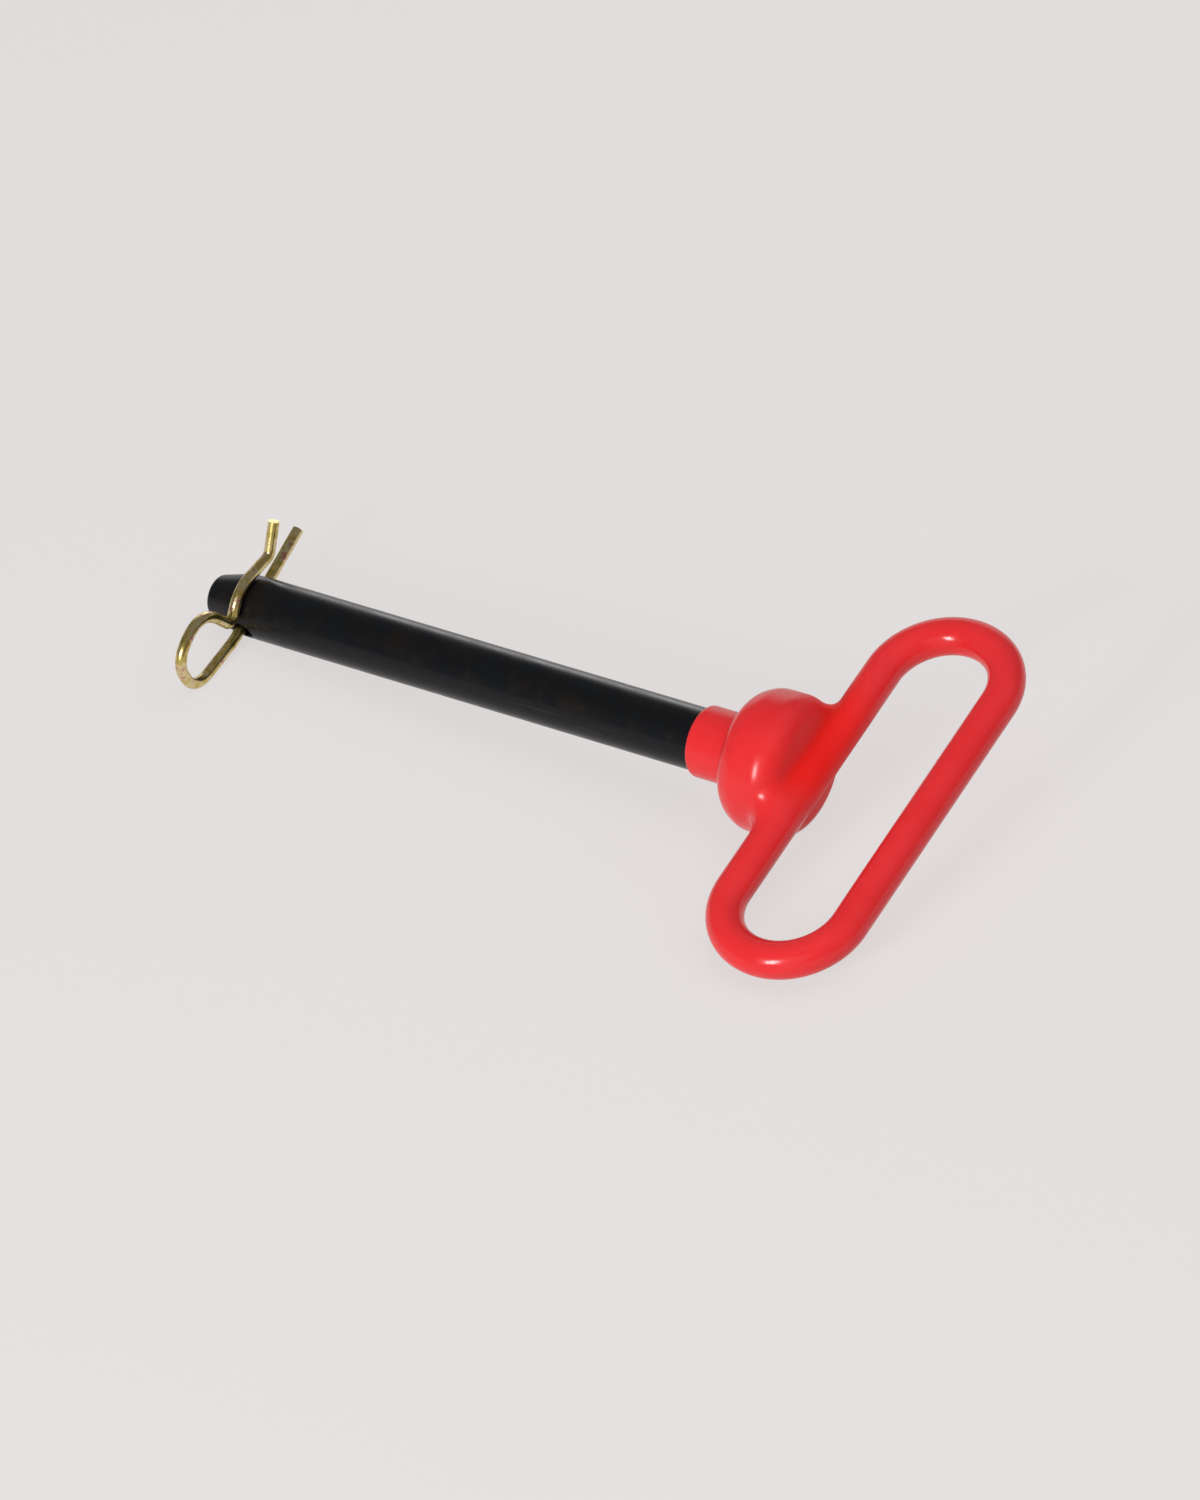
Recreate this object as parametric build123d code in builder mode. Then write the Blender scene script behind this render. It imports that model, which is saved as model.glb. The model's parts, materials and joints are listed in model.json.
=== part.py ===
# Hitch pin with a vinyl-dipped loop handle and a spring wire clip.
#
# The pin lies on a flat surface, as it comes to rest when it is put down: its dipped head, the
# shoulder of its taper and the finger loop of the clip touch the surface. The origin is on the
# pin's axis at the end of the dipped neck, where the drawbar seats. +Z is up, and +X runs
# towards the handle. Lengths are in millimetres and angles in degrees.

import math
import os

from build123d import *

# Shank: the drawbar and the implement's tongue sit on its usable length, up to the edge of the
# cross hole. Past that it leads in slightly to the shoulder of the taper, and under the dip it
# swells towards the upset head.
pin_radius = 19.05 / 2
usable_length = 157.5
taper_length = 10.6
taper_end_radius = 6.4
taper_end_round = 1.6
lead_in = 0.2

# Cross hole for the clip, deburred at both mouths
hole_radius = 6.35 / 2
hole_chamfer = 0.5
hole_to_taper = 4.0
hole_turn = 9.5

# Forged head
head_radius = 20.2
head_height = 20.8
rim_height = 17.6
head_front_round = 7.2
head_back_round = 6.0
under_head_round = 1.5
neck_swell = 0.4

# Handle: a ring of round bar, seated in a groove across the back of the head
bar_radius = 4.76
handle_length = 127.4
handle_width = 39.6
handle_offset = -2.3
seat_depth = 3.7

# Fillet weld along both sides of the bar
weld_leg = 2.6
weld_length = 24.0

# Vinyl dip over the handle, the head and the neck
head_coat = 1.5
bar_coat = 0.9
neck_coat = 1.45
neck_length = 16.3
lip_round = 1.3
crease_round = 0.6
coat_blend = 4.0

# Clip: one length of spring wire, in a plane across the pin
wire_radius = 1.75
wire_gap = 0.1
clip_lean = 3.9
clip_shift = 1.3
leg_length = 28.3
loop_start = 12.5
loop_length = 35.0
loop_height = 25.6
loop_heel = 5.5
loop_shoulder = 3.2
crown_back = 15.0
throat_back = 20.2
throat_drop = 8.8
arc_start = 129.0
arc_end = 70.8
neck_reach = 4.8
tail_reach = 11.0
tail_length = 11.0
tail_flare = 44.4
leg_bend = 22.0
loop_bend = 9.8
shoulder_bend = 8.0
throat_bend = 19.0
neck_bend = 2.4
tail_bend = 2.5

# Places along the pin's axis
hole_at = -(usable_length + hole_chamfer + hole_radius)
taper_at = hole_at - hole_to_taper
tip_at = taper_at - taper_length
head_at = neck_length
rim_at = head_at + rim_height
back_at = head_at + head_height
bar_at = back_at + bar_radius - seat_depth
far_bar_at = bar_at + handle_width

dipped_head_radius = head_radius + head_coat
dipped_neck_radius = pin_radius + neck_coat
dipped_bar_radius = bar_radius + bar_coat
dipped_front_round = head_front_round + head_coat
dipped_back_round = head_back_round + head_coat

# At rest the surface is tangent to the front round of the dipped head and meets the shoulder of
# the taper, which gives the pin its slope.
run = head_at + head_front_round - taper_at
shoulder_radius = pin_radius - lead_in
drop = dipped_head_radius - dipped_front_round - shoulder_radius
slope = math.degrees(math.atan2(drop, run) + math.asin(dipped_front_round / math.hypot(run, drop)))

# The pin then rolls about its axis until the heel bend of the clip's loop is down as well.
heel_angle = math.degrees(math.atan2(loop_length - loop_start, loop_heel))
heel_tangent = loop_bend * math.tan(math.radians(heel_angle) / 2)
heel_across = loop_length - loop_bend
heel_up = loop_heel + heel_tangent
leg_height = (hole_at - clip_shift - taper_at) * math.sin(math.radians(slope)) + shoulder_radius
heel_drop = leg_height - loop_bend - wire_radius
heel_rise = math.atan2(heel_up, heel_across) + math.asin(heel_drop / math.hypot(heel_up, heel_across))
roll = math.degrees(heel_rise) - hole_turn

origin = Vector(0, 0, 0)
pin_dir = Vector(1, 0, 0).rotate(Axis.Y, -slope)
pin_axis = Axis(origin, pin_dir)
side_dir = Vector(0, 1, 0).rotate(pin_axis, roll)
handle_plane = Plane(origin, x_dir=pin_dir, z_dir=pin_dir.cross(side_dir))
weld_plane = Plane(origin, x_dir=pin_dir, z_dir=side_dir)

hole_dir = side_dir.rotate(pin_axis, hole_turn)
hole_plane = Plane(origin + pin_dir * hole_at, x_dir=pin_dir, z_dir=hole_dir)

# The leg leans against the tip's side of its hole.
leg_center = hole_plane.origin - pin_dir * clip_shift
clip_plane = Plane(
    leg_center,
    x_dir=hole_dir,
    z_dir=pin_dir.rotate(Axis(leg_center, hole_dir), clip_lean),
)


def save(name, part):
    part.label = name
    export_step(part, f"parts/{name}.step")
    print(name, "volume", round(part.volume, 1), "solids", len(part.solids()))


def cosine(angle):
    return math.cos(math.radians(angle))


def polar(start, angle, length):
    return (start[0] + length * cosine(angle), start[1] + length * cosine(90 - angle))


def handle_ring(radius):
    # Centre line of the handle's bar, starting at the middle of the far side.
    bend = handle_width / 2
    straight = handle_length / 2 - bend
    middle = handle_offset
    with BuildLine(handle_plane) as centre_line:
        Line((far_bar_at, middle), (far_bar_at, middle + straight))
        CenterArc((bar_at + bend, middle + straight), bend, 0, 180)
        Line((bar_at, middle + straight), (bar_at, middle - straight))
        CenterArc((bar_at + bend, middle - straight), bend, 180, 180)
        Line((far_bar_at, middle - straight), (far_bar_at, middle))
    with BuildPart() as ring:
        with BuildSketch(Plane(centre_line.wire() @ 0, z_dir=centre_line.wire() % 0)):
            Circle(radius)
        sweep(path=centre_line.wire())
    return ring.part


os.makedirs("parts", exist_ok=True)

# Steel ring of the handle
handle_bar = handle_ring(bar_radius)
save("handle_bar", handle_bar)

# Pin: one forging, with a seat for the bar across its head and a hole across its tip
with BuildPart() as pin:
    with BuildSketch(handle_plane):
        with BuildLine():
            FilletPolyline(
                (tip_at, 0),
                (tip_at, taper_end_radius),
                (taper_at, shoulder_radius),
                (-usable_length, pin_radius),
                (0, pin_radius),
                (head_at, pin_radius + neck_swell),
                (head_at, head_radius),
                (rim_at, head_radius),
                (back_at, bar_radius),
                (back_at, 0),
                radius=[
                    taper_end_round,
                    0,
                    0,
                    0,
                    under_head_round,
                    head_front_round,
                    head_back_round,
                    0,
                ],
            )
            Line((back_at, 0), (tip_at, 0))
        make_face()
    revolve(axis=pin_axis)
    with BuildSketch(hole_plane):
        Circle(hole_radius)
    extrude(amount=pin_radius + taper_length, both=True, mode=Mode.SUBTRACT)
    chamfer(pin.edges(Select.NEW).filter_by(GeomType.LINE, reverse=True), length=hole_chamfer)
    add(handle_bar, mode=Mode.SUBTRACT)
save("pin", pin.part)

# Weld: a bead on each side of the bar, from its flank down to the head's back
bead_width = bar_radius + weld_leg
bead_top = math.sqrt(bar_radius**2 - (back_at + weld_leg - bar_at) ** 2)
with BuildPart() as handle_weld:
    with BuildSketch(weld_plane):
        with BuildLine():
            Polyline(
                (back_at - seat_depth, -bead_width),
                (back_at - weld_leg / 2, -bead_width),
                (back_at + weld_leg, -bead_top),
                (back_at + weld_leg, bead_top),
                (back_at - weld_leg / 2, bead_width),
                (back_at - seat_depth, bead_width),
                close=True,
            )
        make_face()
    extrude(amount=weld_length / 2, both=True)
    add(pin.part, mode=Mode.SUBTRACT)
    add(handle_bar, mode=Mode.SUBTRACT)
save("handle_weld", handle_weld.part)

# Vinyl dip: one skin over the ring, the head and the neck
with BuildPart() as vinyl_grip:
    with BuildSketch(handle_plane):
        with BuildLine():
            FilletPolyline(
                (0, 0),
                (0, dipped_neck_radius),
                (head_at - head_coat, dipped_neck_radius),
                (head_at - head_coat, dipped_head_radius),
                (rim_at + head_coat, dipped_head_radius),
                (back_at + head_coat, bar_radius),
                (back_at + head_coat, 0),
                radius=[lip_round, crease_round, dipped_front_round, dipped_back_round, 0],
            )
            Line((back_at + head_coat, 0), (0, 0))
        make_face()
    revolve(axis=pin_axis)
    add(handle_ring(dipped_bar_radius))
    fillet(vinyl_grip.edges(Select.NEW), coat_blend)
    add(pin.part, mode=Mode.SUBTRACT)
    add(handle_bar, mode=Mode.SUBTRACT)
    add(handle_weld.part, mode=Mode.SUBTRACT)
save("vinyl_grip", vinyl_grip.part)

# Clip: the straight leg in its hole, the finger loop, the spring arc over the pin and the tail
arc_radius = pin_radius + wire_gap + wire_radius
arc_top = polar((0, 0), (arc_start + arc_end) / 2, arc_radius / cosine((arc_start - arc_end) / 2))
neck = polar(polar((0, 0), arc_start, arc_radius), arc_start + 90, neck_reach)
tail = polar(polar((0, 0), arc_end, arc_radius), arc_end - 90, tail_reach)
tail_end = polar(tail, tail_flare, tail_length)
with BuildPart() as clip:
    with BuildLine(clip_plane) as wire_line:
        FilletPolyline(
            (leg_length, 0),
            (-loop_start, 0),
            (-loop_length, loop_heel),
            (-loop_length, loop_height - loop_shoulder),
            (crown_back - loop_length, loop_height),
            (throat_back - loop_length, loop_height - throat_drop),
            neck,
            arc_top,
            tail,
            tail_end,
            radius=[
                leg_bend,
                loop_bend,
                shoulder_bend,
                loop_bend,
                throat_bend,
                neck_bend,
                arc_radius,
                tail_bend,
            ],
        )
    with BuildSketch(Plane(wire_line.wire() @ 0, z_dir=wire_line.wire() % 0)):
        Circle(wire_radius)
    sweep(path=wire_line.wire())
save("clip", clip.part)
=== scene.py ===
import json
import math

import bmesh
import bpy
import numpy as np
from mathutils import Matrix, Vector


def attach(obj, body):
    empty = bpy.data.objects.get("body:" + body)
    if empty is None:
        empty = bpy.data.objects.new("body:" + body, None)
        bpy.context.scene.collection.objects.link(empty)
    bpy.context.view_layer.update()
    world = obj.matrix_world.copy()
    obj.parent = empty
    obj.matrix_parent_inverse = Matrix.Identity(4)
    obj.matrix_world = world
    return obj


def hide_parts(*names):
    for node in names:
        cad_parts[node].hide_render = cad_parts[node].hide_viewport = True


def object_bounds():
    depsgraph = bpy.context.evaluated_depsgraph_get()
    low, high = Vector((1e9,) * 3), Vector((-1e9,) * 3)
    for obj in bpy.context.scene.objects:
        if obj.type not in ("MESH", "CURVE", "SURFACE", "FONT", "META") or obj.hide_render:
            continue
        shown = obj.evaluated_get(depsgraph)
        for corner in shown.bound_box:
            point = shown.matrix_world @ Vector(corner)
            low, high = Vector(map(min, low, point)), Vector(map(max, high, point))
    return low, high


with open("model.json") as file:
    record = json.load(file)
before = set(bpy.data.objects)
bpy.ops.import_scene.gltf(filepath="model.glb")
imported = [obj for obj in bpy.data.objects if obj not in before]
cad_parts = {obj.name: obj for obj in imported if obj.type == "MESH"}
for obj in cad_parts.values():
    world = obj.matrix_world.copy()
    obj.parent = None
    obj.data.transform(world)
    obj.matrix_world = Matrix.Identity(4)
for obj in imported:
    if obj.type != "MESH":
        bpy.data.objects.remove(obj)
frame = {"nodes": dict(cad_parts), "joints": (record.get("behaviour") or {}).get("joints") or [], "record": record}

scene = bpy.context.scene
nodes = frame["nodes"]
mm = 0.001
cadBox = [list(corner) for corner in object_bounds()]
print("frame loaded")

# The pin's own axes, read from the frame: pinDir runs to the handle, sideDir along the handle's
# long axis, faceDir out of the handle's face. Places on the pin are given in millimetres on them.
holeTurn = math.radians(9.5)  # how far the clip's hole is turned from the handle's long axis
noiseSpan = (0.3, 0.7)        # a noise texture mostly stays between these
drawbarMount = frame["record"]["mounts"][0]
clipJoint = frame["joints"][0]
pinDir = -Vector(drawbarMount["axis"]).normalized()
holeDir = -Vector(clipJoint["axis"]).normalized()
sideDir = (Matrix.Rotation(-holeTurn, 3, pinDir) @ holeDir).normalized()
faceDir = pinDir.cross(sideDir)
pinFrame = Matrix((pinDir, sideDir, faceDir)).transposed()


def fromPin(x, y, z):
    return pinFrame @ (Vector((x, y, z)) * mm)


def linear(hexColour):
    channels = [int(hexColour[i:i + 2], 16) / 255 for i in (1, 3, 5)]
    return [c / 12.92 if c <= 0.04045 else ((c + 0.055) / 1.055) ** 2.4 for c in channels] + [1.0]


def addNode(tree, kind, links=None, **settings):
    node = tree.nodes.new(kind)
    for name, value in settings.items():
        setattr(node, name, value)
    for name, value in (links or {}).items():
        socket = node.inputs[name]
        if isinstance(value, bpy.types.NodeSocket):
            tree.links.new(value, socket)
        else:
            socket.default_value = value
    return node


def newMaterial(name):
    material = bpy.data.materials.new(name)
    material.use_nodes = True
    material.node_tree.nodes.clear()
    return material, material.node_tree


def rampStops(node, stops):
    stops = list(stops)
    elements = node.color_ramp.elements
    while len(elements) < len(stops):
        elements.new(stops[len(elements)][0])
    for element, (position, colour) in zip(elements, stops):
        element.position = position
        element.color = linear(colour)


def finishMaterial(tree, shader):
    addNode(tree, "ShaderNodeOutputMaterial", {"Surface": shader.outputs[0]})


redDip = {
    "colour": "#de2e32",
    "thin": "#da292d",     # where the skin is thinner
    "pooledDipAndShade": "#e5150d",   # a deeper, darker red in the hollow between ring and head: partly the thicker dip, partly painted shade
    "poolShadeDepth": 6.5,      # mm of extra dip at which this painted shade is deepest
    "dullDepth": 2.8,      # and at which it is dullest, as it shrank there
    "cloudSize": 18.0,     # mm, slow drift of the pigment
    "cloudStops": (0.35, 0.65),
    "sagSize": 7.0,        # mm, soft waves left as the dip ran before it set
    "sagDepth": 0.035,
    "peelSize": 1.6,       # mm, the skin's faint orange peel, drawn coarser than it is so it shows
    "peelDepth": 0.004,
    "roughness": (0.15, 0.20),
    "dullRoughness": 0.50,
    "ior": 1.5,
    "specular": 0.30,
    "softShare": 0.08,     # light that wanders in the skin, and how far in mm
    "softDepth": 0.8,
    "softReach": (1.0, 0.25, 0.2),
}


def makeRedDip():
    # Plastisol, a PVC dip cured on hot steel: a saturated, slightly soft red under a wet gloss,
    # which gives small crisp highlights with a pink bloom around them.
    material, tree = newMaterial("red_plastisol_dip")
    place = addNode(tree, "ShaderNodeTexCoord").outputs["Object"]
    clouds = addNode(tree, "ShaderNodeTexNoise", {
        "Vector": place, "Scale": 1 / (redDip["cloudSize"] * mm), "Detail": 2.0})
    pigment = addNode(tree, "ShaderNodeValToRGB", {"Fac": clouds.outputs["Fac"]})
    rampStops(pigment, zip(redDip["cloudStops"], (redDip["thin"], redDip["colour"])))
    # Painted shade: the red is mixed towards the deeper red where the hollow between ring and head is deepest,
    # partly for the thicker dip and partly as painted shade; the same depth also makes it duller.
    hollowShadeDepth = addNode(tree, "ShaderNodeAttribute", attribute_name="hollowDepthAndShade")
    depth = addNode(tree, "ShaderNodeMapRange", {
        "Value": hollowShadeDepth.outputs["Fac"], "From Max": redDip["poolShadeDepth"]})
    colour = addNode(tree, "ShaderNodeMix", {
        0: depth.outputs["Result"], 6: pigment.outputs["Color"], 7: linear(redDip["pooledDipAndShade"])},
        data_type="RGBA")
    gloss = addNode(tree, "ShaderNodeMapRange", {
        "Value": clouds.outputs["Fac"], "From Min": noiseSpan[0], "From Max": noiseSpan[1],
        "To Min": redDip["roughness"][0], "To Max": redDip["roughness"][1]})
    dulled = addNode(tree, "ShaderNodeMapRange", {
        "Value": hollowShadeDepth.outputs["Fac"], "From Max": redDip["dullDepth"],
        "To Min": gloss.outputs["Result"], "To Max": redDip["dullRoughness"]})
    sag = addNode(tree, "ShaderNodeTexNoise", {
        "Vector": place, "Scale": 1 / (redDip["sagSize"] * mm), "Detail": 1.0})
    waves = addNode(tree, "ShaderNodeBump", {
        "Height": sag.outputs["Fac"], "Strength": 1.0, "Distance": redDip["sagDepth"] * mm})
    peel = addNode(tree, "ShaderNodeTexNoise", {
        "Vector": place, "Scale": 1 / (redDip["peelSize"] * mm), "Detail": 1.0})
    skin = addNode(tree, "ShaderNodeBump", {
        "Height": peel.outputs["Fac"], "Strength": 1.0, "Distance": redDip["peelDepth"] * mm,
        "Normal": waves.outputs["Normal"]})
    shader = addNode(tree, "ShaderNodeBsdfPrincipled", {
        "Base Color": colour.outputs[2], "Roughness": dulled.outputs["Result"],
        "Normal": skin.outputs["Normal"], "IOR": redDip["ior"],
        "Specular IOR Level": redDip["specular"], "Subsurface Weight": redDip["softShare"],
        "Subsurface Scale": redDip["softDepth"] * mm, "Subsurface Radius": redDip["softReach"]})
    finishMaterial(tree, shader)
    return material


quenchBlack = {
    "colour": "#0c0d0f",
    "blue": "#0d1015",
    "brown": "#13100e",
    "rub": "#2e2e31",      # steel showing through where the pin has slid in its hole
    "cloudSize": 9.0,      # mm, temper clouds
    "cloudStops": (0.36, 0.5, 0.64),
    "rubLength": 30.0,     # mm, length of the rub marks along the pin, and their width
    "rubWidth": 1.1,
    "rubFrom": (0.66, 0.78),   # the mark's noise at its edge and at its middle
    "rubShare": 0.35,      # how bare the steel gets there
    "scaleSize": 0.6,      # mm, grain of the thin scale
    "scaleDepth": 0.008,
    "scaleStrength": 0.3,
    "roughness": (0.20, 0.34),
    "ior": 1.30,           # low, so that the scale mirrors little
}


def makeQuenchBlack():
    # Carbon steel hardened and quenched in oil: a thin, tight, near-black scale with a dark satin
    # gloss, faint blue and brown temper clouds and a few grey rub marks along the pin.
    material, tree = newMaterial("quenched_black_steel")
    place = addNode(tree, "ShaderNodeTexCoord").outputs["Object"]
    clouds = addNode(tree, "ShaderNodeTexNoise", {
        "Vector": place, "Scale": 1 / (quenchBlack["cloudSize"] * mm), "Detail": 5.0,
        "Roughness": 0.6})
    temper = addNode(tree, "ShaderNodeValToRGB", {"Fac": clouds.outputs["Fac"]})
    rampStops(temper, zip(quenchBlack["cloudStops"], (
        quenchBlack["blue"], quenchBlack["colour"], quenchBlack["brown"])))
    slope = math.atan2(pinDir.z, pinDir.x)
    level = addNode(tree, "ShaderNodeVectorRotate", {
        "Vector": place, "Axis": (0, 1, 0), "Angle": slope}, rotation_type="AXIS_ANGLE")
    along, across = 1 / (quenchBlack["rubLength"] * mm), 1 / (quenchBlack["rubWidth"] * mm)
    drawn = addNode(tree, "ShaderNodeMapping", {
        "Vector": level.outputs["Vector"], "Scale": (along, across, across)})
    streaks = addNode(tree, "ShaderNodeTexNoise", {
        "Vector": drawn.outputs["Vector"], "Scale": 1.0, "Detail": 2.0})
    rubbed = addNode(tree, "ShaderNodeMapRange", {
        "Value": streaks.outputs["Fac"], "From Min": quenchBlack["rubFrom"][0],
        "From Max": quenchBlack["rubFrom"][1], "To Max": quenchBlack["rubShare"]})
    colour = addNode(tree, "ShaderNodeMix", {
        0: rubbed.outputs["Result"], 6: temper.outputs["Color"], 7: linear(quenchBlack["rub"])},
        data_type="RGBA")
    grain = addNode(tree, "ShaderNodeTexNoise", {
        "Vector": place, "Scale": 1 / (quenchBlack["scaleSize"] * mm), "Detail": 3.0})
    gloss = addNode(tree, "ShaderNodeMapRange", {
        "Value": clouds.outputs["Fac"], "From Min": noiseSpan[0], "From Max": noiseSpan[1],
        "To Min": quenchBlack["roughness"][0], "To Max": quenchBlack["roughness"][1]})
    relief = addNode(tree, "ShaderNodeBump", {
        "Height": grain.outputs["Fac"], "Strength": quenchBlack["scaleStrength"],
        "Distance": quenchBlack["scaleDepth"] * mm})
    shader = addNode(tree, "ShaderNodeBsdfPrincipled", {
        "Base Color": colour.outputs[2], "Roughness": gloss.outputs["Result"],
        "IOR": quenchBlack["ior"], "Normal": relief.outputs["Normal"]})
    finishMaterial(tree, shader)
    return material


yellowZinc = {
    "gold": "#cfb56c",
    "olive": "#aca35f",
    "rose": "#c7927c",
    "pale": "#dfd2a0",
    "patchSize": 3.2,      # mm, patches of the passivate's colour along the wire
    "patchStops": (0.32, 0.45, 0.57, 0.68),
    "dieSize": 0.35,       # mm, spacing of the drawing marks, coarser than they are so they show
    "dieDepth": 0.01,
    "dieStrength": 0.4,
    "roughness": (0.20, 0.36),
}


def makeYellowZinc():
    # Zinc electroplate with a yellow passivate on drawn spring wire: bright metal under a thin
    # film that shifts from pale gold to olive and rose.
    material, tree = newMaterial("yellow_zinc_wire")
    place = addNode(tree, "ShaderNodeTexCoord").outputs["Object"]
    patches = addNode(tree, "ShaderNodeTexNoise", {
        "Vector": place, "Scale": 1 / (yellowZinc["patchSize"] * mm), "Detail": 3.0})
    film = addNode(tree, "ShaderNodeValToRGB", {"Fac": patches.outputs["Fac"]})
    rampStops(film, zip(yellowZinc["patchStops"], (
        yellowZinc["olive"], yellowZinc["gold"], yellowZinc["pale"], yellowZinc["rose"])))
    marks = addNode(tree, "ShaderNodeTexNoise", {
        "Vector": place, "Scale": 1 / (yellowZinc["dieSize"] * mm), "Detail": 2.0})
    gloss = addNode(tree, "ShaderNodeMapRange", {
        "Value": marks.outputs["Fac"], "From Min": noiseSpan[0], "From Max": noiseSpan[1],
        "To Min": yellowZinc["roughness"][0], "To Max": yellowZinc["roughness"][1]})
    relief = addNode(tree, "ShaderNodeBump", {
        "Height": marks.outputs["Fac"], "Strength": yellowZinc["dieStrength"],
        "Distance": yellowZinc["dieDepth"] * mm})
    shader = addNode(tree, "ShaderNodeBsdfPrincipled", {
        "Base Color": film.outputs["Color"], "Metallic": 1.0,
        "Roughness": gloss.outputs["Result"], "Normal": relief.outputs["Normal"]})
    finishMaterial(tree, shader)
    return material


rolledSteel = {
    "colour": "#6b6763",
    "dark": "#4c4946",
    "scaleSize": 5.0,      # mm, patches of the scale
    "scaleStops": (0.4, 0.6),
    "roughness": 0.5,
}


def makeRolledSteel():
    # Hot rolled bar and weld metal, as they are under the dip: dull grey mill scale.
    material, tree = newMaterial("rolled_steel")
    place = addNode(tree, "ShaderNodeTexCoord").outputs["Object"]
    scale = addNode(tree, "ShaderNodeTexNoise", {
        "Vector": place, "Scale": 1 / (rolledSteel["scaleSize"] * mm), "Detail": 4.0})
    tone = addNode(tree, "ShaderNodeValToRGB", {"Fac": scale.outputs["Fac"]})
    rampStops(tone, zip(rolledSteel["scaleStops"], (rolledSteel["dark"], rolledSteel["colour"])))
    shader = addNode(tree, "ShaderNodeBsdfPrincipled", {
        "Base Color": tone.outputs["Color"], "Metallic": 1.0,
        "Roughness": rolledSteel["roughness"]})
    finishMaterial(tree, shader)
    return material


def dress(piece, material):
    piece.data.materials.clear()
    piece.data.materials.append(material)


dress(nodes["pin"], makeQuenchBlack())
dress(nodes["clip"], makeYellowZinc())
rolled = makeRolledSteel()
dress(nodes["handle_bar"], rolled)
dress(nodes["handle_weld"], rolled)
redMaterial = makeRedDip()
dress(nodes["vinyl_grip"], redMaterial)
print("materials made")

# The dip's outer surface, as one field: distances in millimetres on the pin's axes, less than
# zero inside. The ring and the head melt into each other where the dip pooled between them.
dipShape = {
    "neckRadius": 10.97,
    "lipRound": 1.3,
    "neckInto": 20.0,      # how far the neck's own field runs into the head
    "headFront": 14.8,
    "headRadius": 21.7,
    "rimEnd": 35.4,
    "backEnd": 38.6,
    "backFlat": 4.76,
    "frontRound": 8.7,
    "backRound": 7.5,
    "crease": 0.7,         # between neck and head
    "barRadius": 5.66,
    "barAt": 38.16,
    "ringWidth": 39.6,
    "ringLength": 127.4,
    "ringOffset": -2.3,
    "pool": 5.0,           # how widely the dip pooled between ring and head
    "poolLow": 8.0,        # and behind the rim on the lower half, where it ran as it hung
    "poolFrom": (27.0, 37.0),   # where it widens along the pin, and across it
    "poolTurn": (-4.0, -21.0),
    "shadeReach": 20.0,        # the hollow this near to both ring and head takes the painted shade and is dulled
    "shadeTurn": (-4.0, -22.0),   # but not on the lower half, where the painted shade fades out
    "boreRadius": 9.54,
    "boreSwell": 0.4,      # as the pin swells under the dip, up to the head
    "boreDepth": 13.0,     # from here on the pin fills the dip, and it has no inner wall
    "mouthRound": 0.35,
    # Run lines are thin ridges that the dip left along the ring's two ends as it drained. Each has
    # its end of the ring, its reach from the end's centre, its height on the bar and its first and
    # last angle in degrees.
    "runLines": [(1, 14.5, 2.0, 58.0, 134.0), (-1, 25.3, 1.0, -84.0, -60.0)],
    "runHeight": 0.13,
    "runWidth": 0.55,
}

# The dip's mesh: rough closed shapes just inside the field are remeshed to even faces, and these
# are then drawn on to the field and smoothed in turns.
dipMesh = {
    "step": 0.45,          # mm, size of a face
    "neckInset": 0.1,      # mm, how far the shapes stay inside the skin
    "boreInset": 0.3,
    "boreEnd": 0.5,        # radius of the cap that closes the bore
    "neckOverlap": 3.0,    # how far the neck's shape runs into the head's
    "frontSteps": [(0, 13), (3, 19), (8, 21.4)],   # along from the head's front, and radius
    "rimSteps": [(-6, 21.4), (-1, 18)],            # along from the rim's end
    "backSteps": [(-1.5, 13)],                     # along from the head's back
    "sides": 64,
    "barSides": 24,
    "bendSteps": 24,
    "firstRounds": 6,      # steps on to the field before the first smoothing
    "turns": 6,
    "rounds": 2,           # and after each
    "smoothing": 0.5,      # share of the way to the neighbours' middle
    "slopeStep": 0.01,     # mm, over which the field's slope is measured
    "leastSlope": 0.05,    # squared, so that a flat spot throws no point away
}


def meltTogether(a, b, radius):
    return np.maximum(radius, np.minimum(a, b)) - np.hypot(
        np.maximum(radius - a, 0), np.maximum(radius - b, 0))


def segmentDistance(x, y, start, end):
    along = np.subtract(end, start)
    t = np.clip(((x - start[0]) * along[0] + (y - start[1]) * along[1]) / (along @ along), 0, 1)
    return np.hypot(x - start[0] - t * along[0], y - start[1] - t * along[1])


def headCore():
    # The head's profile drawn in by its back round, so that growing it again rounds the corners.
    d = dipShape
    r = d["backRound"]
    extra = d["frontRound"] - r
    front, rim, back = d["headFront"] + r, d["headRadius"] - r, d["backEnd"] - r
    cone = np.array((d["backEnd"] - d["rimEnd"], d["backFlat"] - d["headRadius"]))
    normal = np.array((-cone[1], cone[0])) / np.hypot(*cone)
    onCone = np.array((d["rimEnd"], d["headRadius"])) - normal * r
    shoulder = onCone + cone * (rim - onCone[1]) / cone[1]
    foot = onCone + cone * (back - onCone[0]) / cone[0]
    diagonal = extra * (1 - math.sqrt(0.5))
    return [
        (front, 0), (front, rim - extra), (front + diagonal, rim - diagonal), (front + extra, rim),
        tuple(shoulder), tuple(foot), (back, 0)]


def headField(x, r):
    corners = headCore()
    inside = np.full(x.shape, -np.inf)
    edge = np.full(x.shape, np.inf)
    for start, end in zip(corners, corners[1:]):
        along = np.subtract(end, start) / np.hypot(*np.subtract(end, start))
        inside = np.maximum(inside, -(x - start[0]) * along[1] + (r - start[1]) * along[0])
        edge = np.minimum(edge, segmentDistance(x, r, start, end))
    return np.where(inside < 0, -edge, edge) - dipShape["backRound"]


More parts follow.
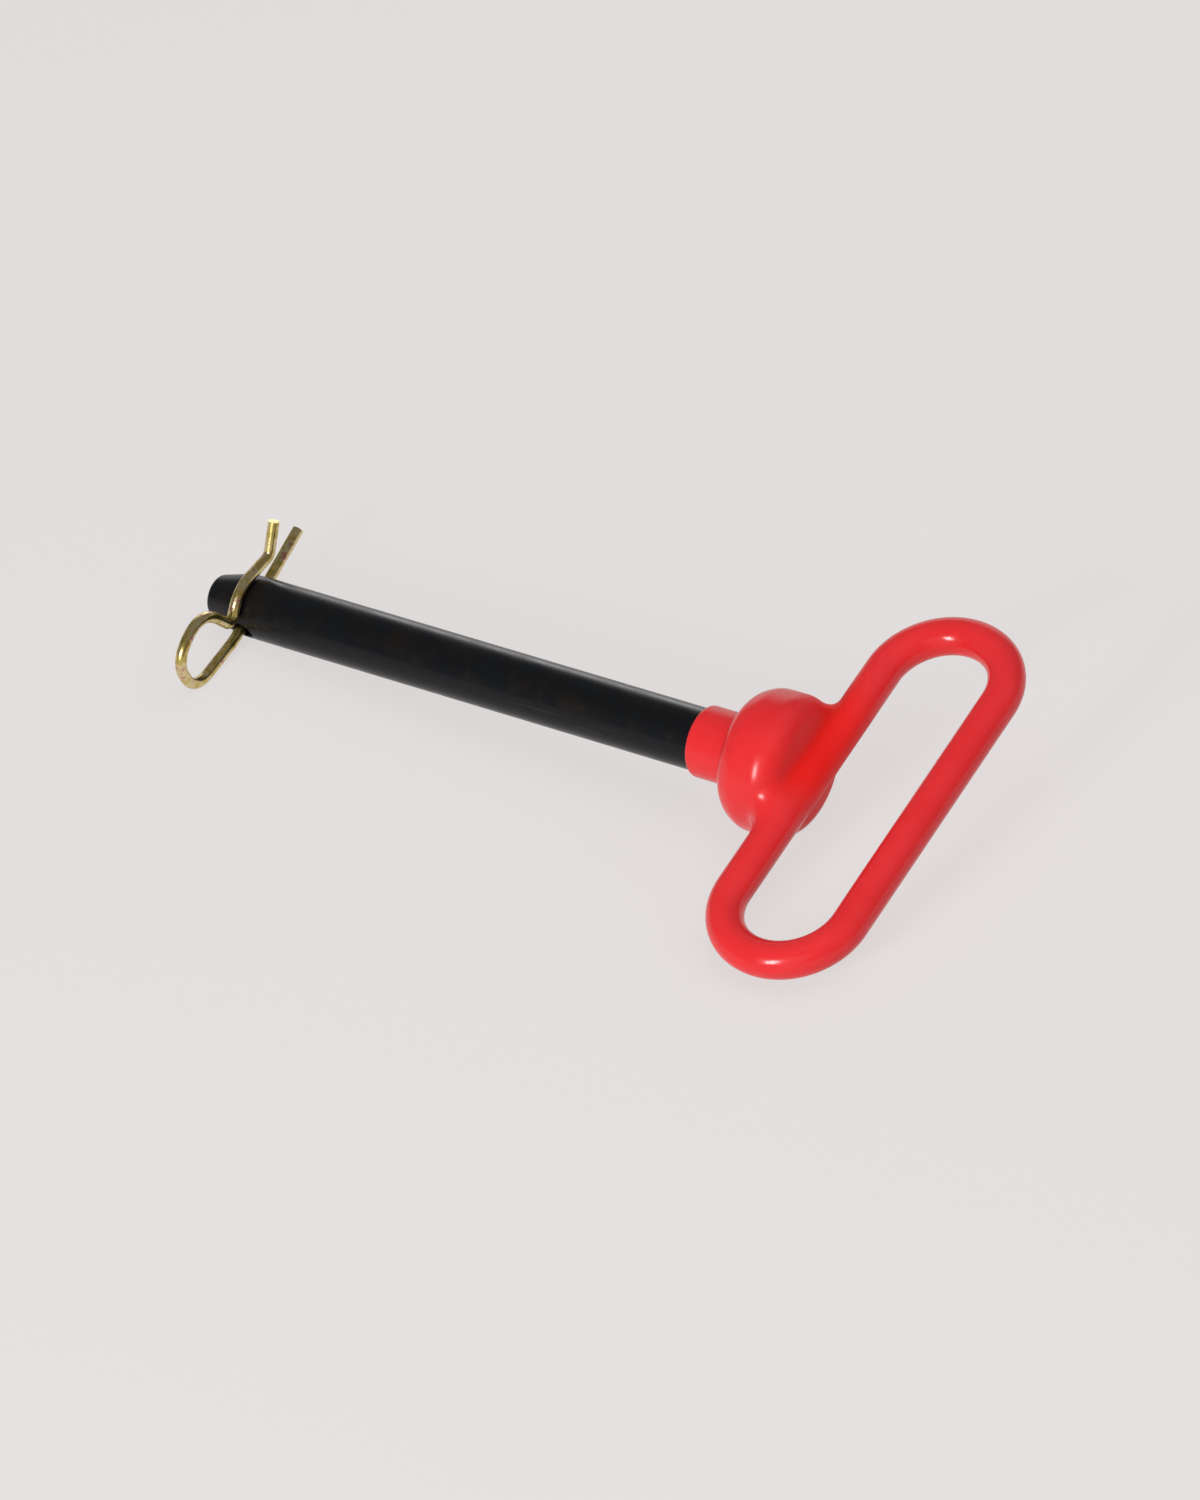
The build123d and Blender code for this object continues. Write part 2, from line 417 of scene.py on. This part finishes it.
def neckField(x, r):
    d = dipShape
    half = d["neckInto"] / 2
    qx = np.abs(x - half) - half + d["lipRound"]
    qr = r - d["neckRadius"] + d["lipRound"]
    return np.hypot(np.maximum(qx, 0), np.maximum(qr, 0)) + np.minimum(
        np.maximum(qx, qr), 0) - d["lipRound"]


def ringField(x, y, z):
    d = dipShape
    bend = d["ringWidth"] / 2
    straight = d["ringLength"] / 2 - bend
    px = x - d["barAt"] - bend
    py = np.maximum(np.abs(y - d["ringOffset"]) - straight, 0)
    return np.hypot(np.hypot(px, py) - bend, z) - d["barRadius"]


def runField(x, y, z):
    d = dipShape
    bend = d["ringWidth"] / 2
    straight = d["ringLength"] / 2 - bend
    ridge = np.zeros_like(x)
    for side, reach, height, first, last in d["runLines"]:
        px = x - d["barAt"] - bend
        py = y - d["ringOffset"] - side * straight
        angle = np.degrees(np.arctan2(py, px))
        past = np.maximum(np.maximum(first - angle, angle - last), 0) * math.radians(reach)
        away = np.sqrt((np.hypot(px, py) - reach) ** 2 + (z - height) ** 2 + past ** 2)
        ridge += d["runHeight"] * np.exp(-(away / d["runWidth"]) ** 2)
    return ridge


def boreField(x, r):
    d = dipShape
    radius = d["boreRadius"] + d["boreSwell"] * np.maximum(x, 0) / d["headFront"]
    return np.maximum(r - radius, x - d["boreDepth"])


def easeBetween(value, start, end):
    t = np.clip((value - start) / (end - start), 0, 1)
    return t * t * (3 - 2 * t)


def poolRadius(x, y):
    d = dipShape
    low = easeBetween(x, *d["poolFrom"]) * easeBetween(y, *d["poolTurn"])
    return d["pool"] + (d["poolLow"] - d["pool"]) * low


def headAndNeck(x, r):
    return meltTogether(headField(x, r), neckField(x, r), dipShape["crease"])


def dipField(points):
    x, y, z = points.T
    r = np.hypot(y, z)
    skin = meltTogether(headAndNeck(x, r), ringField(x, y, z), poolRadius(x, y))
    skin = skin - runField(x, y, z)
    return -meltTogether(-skin, boreField(x, r), dipShape["mouthRound"])


# Painted shade: how much a wide melt would fill the hollow between head and ring, faded out towards the lower
# half. The red is painted deeper and darker with it, partly for the thicker dip and partly as shade, and it is
# made duller there.
def hollowDepthAndShade(points):
    x, y, z = points.T
    d = dipShape
    head, ring = headAndNeck(x, np.hypot(y, z)), ringField(x, y, z)
    shadeFill = np.minimum(head, ring) - meltTogether(head, ring, d["shadeReach"])
    return shadeFill * (1 - easeBetween(y, *d["shadeTurn"]))


def fieldSlope(field, points):
    step = dipMesh["slopeStep"]
    slope = np.empty_like(points)
    for axis in range(3):
        shift = np.zeros(3)
        shift[axis] = step
        slope[:, axis] = (field(points + shift) - field(points - shift)) / (2 * step)
    return slope


def settle(field, points, rounds):
    for _ in range(rounds):
        slope = fieldSlope(field, points)
        steepness = np.maximum((slope ** 2).sum(1), dipMesh["leastSlope"])
        points = points - slope * (field(points) / steepness)[:, None]
    return points


def addRevolve(shape, profile):
    sides = dipMesh["sides"]
    angles = [2 * math.pi * i / sides for i in range(sides)]
    rows = [[shape.verts.new((x, r * math.cos(a), r * math.sin(a))) for a in angles]
            for x, r in profile]
    for low, high in zip(rows, rows[1:]):
        for i in range(sides):
            j = (i + 1) % sides
            shape.faces.new((low[i], low[j], high[j], high[i]))
    shape.faces.new(reversed(rows[0]))
    shape.faces.new(rows[-1])


def addRing(shape):
    d = dipShape
    radius, sides, steps = d["barRadius"], dipMesh["barSides"], dipMesh["bendSteps"]
    bend = d["ringWidth"] / 2
    straight = d["ringLength"] / 2 - bend
    centreX = d["barAt"] + bend
    rows = []
    for side, turn in ((1, 0), (-1, math.pi)):
        centreY = d["ringOffset"] + side * straight
        for a in (turn + math.pi * i / steps for i in range(steps + 1)):
            row = []
            for b in (2 * math.pi * i / sides for i in range(sides)):
                out = bend + radius * math.cos(b)
                row.append(shape.verts.new((
                    centreX + math.cos(a) * out, centreY + math.sin(a) * out,
                    radius * math.sin(b))))
            rows.append(row)
    for low, high in zip(rows, rows[1:] + rows[:1]):
        for i in range(sides):
            j = (i + 1) % sides
            shape.faces.new((low[i], high[i], high[j], low[j]))


def makeCage():
    d = dipShape
    shape = bmesh.new()
    neck = d["neckRadius"] - dipMesh["neckInset"]
    bore = d["boreRadius"] + dipMesh["boreInset"]
    boreFloor = d["boreDepth"] + dipMesh["boreInset"]
    addRevolve(shape, [
        (boreFloor, dipMesh["boreEnd"]), (boreFloor, bore), (0, bore), (0, neck),
        (d["headFront"] + dipMesh["neckOverlap"], neck)])
    addRevolve(shape, [
        (d[start] + x, r)
        for start, steps in (
            ("headFront", "frontSteps"), ("rimEnd", "rimSteps"), ("backEnd", "backSteps"))
        for x, r in dipMesh[steps]])
    addRing(shape)
    bmesh.ops.recalc_face_normals(shape, faces=shape.faces)
    mesh = bpy.data.meshes.new("dip_cage")
    shape.to_mesh(mesh)
    shape.free()
    return mesh


def evenMesh(cage):
    holder = bpy.data.objects.new("dip_cage", cage)
    scene.collection.objects.link(holder)
    remesh = holder.modifiers.new("even", "REMESH")
    remesh.mode = "VOXEL"
    remesh.voxel_size = dipMesh["step"]
    evaluated = holder.evaluated_get(bpy.context.evaluated_depsgraph_get())
    even = bpy.data.meshes.new_from_object(evaluated)
    bpy.data.objects.remove(holder)
    bpy.data.meshes.remove(cage)
    even.name = "dipped_grip"
    return even


def drawOnField(mesh, points):
    count = len(points)
    edges = np.empty(len(mesh.edges) * 2, dtype=int)
    mesh.edges.foreach_get("vertices", edges)
    a, b = edges.reshape(-1, 2).T
    neighbours = np.bincount(a, minlength=count) + np.bincount(b, minlength=count)
    share = dipMesh["smoothing"]
    points = settle(dipField, points, dipMesh["firstRounds"])
    for _ in range(dipMesh["turns"]):
        total = np.stack([
            np.bincount(a, points[b, k], count) + np.bincount(b, points[a, k], count)
            for k in range(3)], axis=1)
        points = points * (1 - share) + total / neighbours[:, None] * share
        points = settle(dipField, points, dipMesh["rounds"])
    return points


def makeDip():
    mesh = evenMesh(makeCage())
    points = np.empty(len(mesh.vertices) * 3)
    mesh.vertices.foreach_get("co", points)
    points = drawOnField(mesh, points.reshape(-1, 3))
    # the painted shade of the hollow, stored on the mesh for the red's colour and dullness
    extra = mesh.attributes.new("hollowDepthAndShade", "FLOAT", "POINT")
    extra.data.foreach_set("value", hollowDepthAndShade(points))
    points = (points * mm) @ np.array(pinFrame).T
    mesh.vertices.foreach_set("co", points.ravel())
    mesh.update()
    mesh.shade_smooth()
    piece = bpy.data.objects.new("dipped_grip", mesh)
    scene.collection.objects.link(piece)
    print("dip:", len(mesh.polygons), "faces")
    return piece


dip = makeDip()
dress(dip, redMaterial)
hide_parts("vinyl_grip")
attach(dip, "pin_body")

# A pale seamless floor, a soft overhead that only fills, a broad soft front with a small bright
# window in it, and a strip of light low behind the pin, which edges the bare steel. Bearings are
# azimuth and elevation in degrees from where the lamp aims, sizes and distances are in metres.
studio = {
    "floor": "#e4e0df",
    "floorGlow": 0.84,     # share of the floor that is plain background, the rest takes shadows
    "floorHalf": 4.0,
    "pinMiddle": (-45, 0, 0),       # where lamps aim, in mm on the pin
    "handleMiddle": (45, -10, 0),
    "overheadPower": 28.0,
    "overheadSize": (2.6, 2.6),
    "overheadBearing": (35.0, 66.0),
    "overheadDistance": 2.0,
    "frontPower": 3.2,
    "frontSize": (1.6, 1.2),
    "frontBearing": (-82.0, 24.0),
    "frontDistance": 1.6,
    "windowPower": 14.5,
    "windowSize": (0.28, 0.46),
    "windowBearing": (-94.0, 21.0),
    "windowDistance": 1.5,
    "edgePower": 1.7,
    "edgeSize": (0.5, 0.45),
    "edgeBearing": (119.0, 9.0),
    "edgeDistance": 1.6,
    "roomColour": "#fdfcfb",
    "roomGlow": 0.22,
    "farBearing": (124.0, 4.0),    # the room is lighter low on its far side
    "farGlow": 1.1,
    "farEdge": (0.86, 0.99),       # cosines from its bearing
}


def bearing(azimuth, elevation):
    a, e = math.radians(azimuth), math.radians(elevation)
    return Vector((math.cos(a) * math.cos(e), math.sin(a) * math.cos(e), math.sin(e)))


def makeFloor():
    material, tree = newMaterial("pale_floor")
    pale = linear(studio["floor"])
    paper = addNode(tree, "ShaderNodeBsdfDiffuse", {"Color": pale})
    plain = addNode(tree, "ShaderNodeEmission", {"Color": pale, "Strength": 1.0})
    path = addNode(tree, "ShaderNodeLightPath")
    mirrored = addNode(tree, "ShaderNodeMath", {
        0: path.outputs["Is Camera Ray"], 1: path.outputs["Is Glossy Ray"]}, operation="MAXIMUM")
    seen = addNode(tree, "ShaderNodeMath", {
        0: mirrored.outputs[0], 1: path.outputs["Is Transmission Ray"]}, operation="MAXIMUM")
    share = addNode(tree, "ShaderNodeMath", {0: seen.outputs[0], 1: studio["floorGlow"]},
                    operation="MULTIPLY")
    floorShader = addNode(tree, "ShaderNodeMixShader", {
        0: share.outputs[0], 1: paper.outputs[0], 2: plain.outputs[0]})
    finishMaterial(tree, floorShader)
    half = studio["floorHalf"]
    mesh = bpy.data.meshes.new("floor")
    corners = [(-half, -half), (half, -half), (half, half), (-half, half)]
    mesh.from_pydata([(x, y, cadBox[0][2]) for x, y in corners], [], [(0, 1, 2, 3)])
    floor = bpy.data.objects.new("floor", mesh)
    scene.collection.objects.link(floor)
    dress(floor, material)


def addSoftbox(name, aim):
    light = bpy.data.lights.new(name, "AREA")
    light.shape = "RECTANGLE"
    light.size, light.size_y = studio[name + "Size"]
    light.energy = studio[name + "Power"]
    box = bpy.data.objects.new(name, light)
    away = bearing(*studio[name + "Bearing"]) * studio[name + "Distance"]
    box.location = aim + away
    box.rotation_euler = (-away).to_track_quat("-Z", "Y").to_euler()
    scene.collection.objects.link(box)
    return box


def makeLights():
    middle = fromPin(*studio["pinMiddle"])
    handle = fromPin(*studio["handleMiddle"])
    overhead = addSoftbox("overhead", middle)
    overhead.visible_glossy = False  # it fills without a reflection of its own
    addSoftbox("front", handle)
    addSoftbox("window", handle)
    strip = addSoftbox("edge", middle)
    steel = bpy.data.collections.new("steel")  # the strip lights the bare steel alone
    for name in ("pin", "clip"):
        steel.objects.link(nodes[name])
    strip.light_linking.receiver_collection = steel


def makeWorld():
    world = bpy.data.worlds.new("studio")
    scene.world = world
    world.use_nodes = True
    tree = world.node_tree
    tree.nodes.clear()
    place = addNode(tree, "ShaderNodeTexCoord").outputs["Generated"]
    towards = addNode(tree, "ShaderNodeVectorMath", {
        0: place, 1: bearing(*studio["farBearing"])}, operation="DOT_PRODUCT")
    spread = addNode(tree, "ShaderNodeMapRange", {
        "Value": towards.outputs["Value"],
        "From Min": studio["farEdge"][0], "From Max": studio["farEdge"][1],
        "To Min": studio["roomGlow"], "To Max": studio["farGlow"]},
        interpolation_type="SMOOTHSTEP")
    glow = addNode(tree, "ShaderNodeBackground", {
        "Color": linear(studio["roomColour"]), "Strength": spread.outputs["Result"]})
    addNode(tree, "ShaderNodeOutputWorld", {"Surface": glow.outputs[0]})


makeFloor()
makeLights()
makeWorld()
print("studio made")

# A long lens, looking down on the pin from beside the handle. Its target, the direction back to
# it and its upright are given on the pin's axes.
cameraView = {
    "target": (-21.5, -20.2, 10.0),
    "back": (0.5, -0.4743, 0.7246),
    "up": (-0.2504, 0.7218, 0.6452),
    "distance": 2849.5,    # mm
    "lens": 233.9,
    "sensor": 36.0,
    "clipEnd": 20.0,       # m
}


def makeCamera():
    data = bpy.data.cameras.new("camera")
    data.lens = cameraView["lens"]
    data.sensor_width = cameraView["sensor"]
    data.clip_end = cameraView["clipEnd"]
    camera = bpy.data.objects.new("camera", data)
    back = (pinFrame @ Vector(cameraView["back"])).normalized()
    up = pinFrame @ Vector(cameraView["up"])
    right = up.cross(back).normalized()
    turn = Matrix((right, back.cross(right), back)).transposed()
    place = fromPin(*cameraView["target"]) + back * (cameraView["distance"] * mm)
    camera.matrix_world = Matrix.Translation(place) @ turn.to_4x4()
    scene.collection.objects.link(camera)
    scene.camera = camera


makeCamera()
scene.view_settings.view_transform = "Standard"
print("camera made")
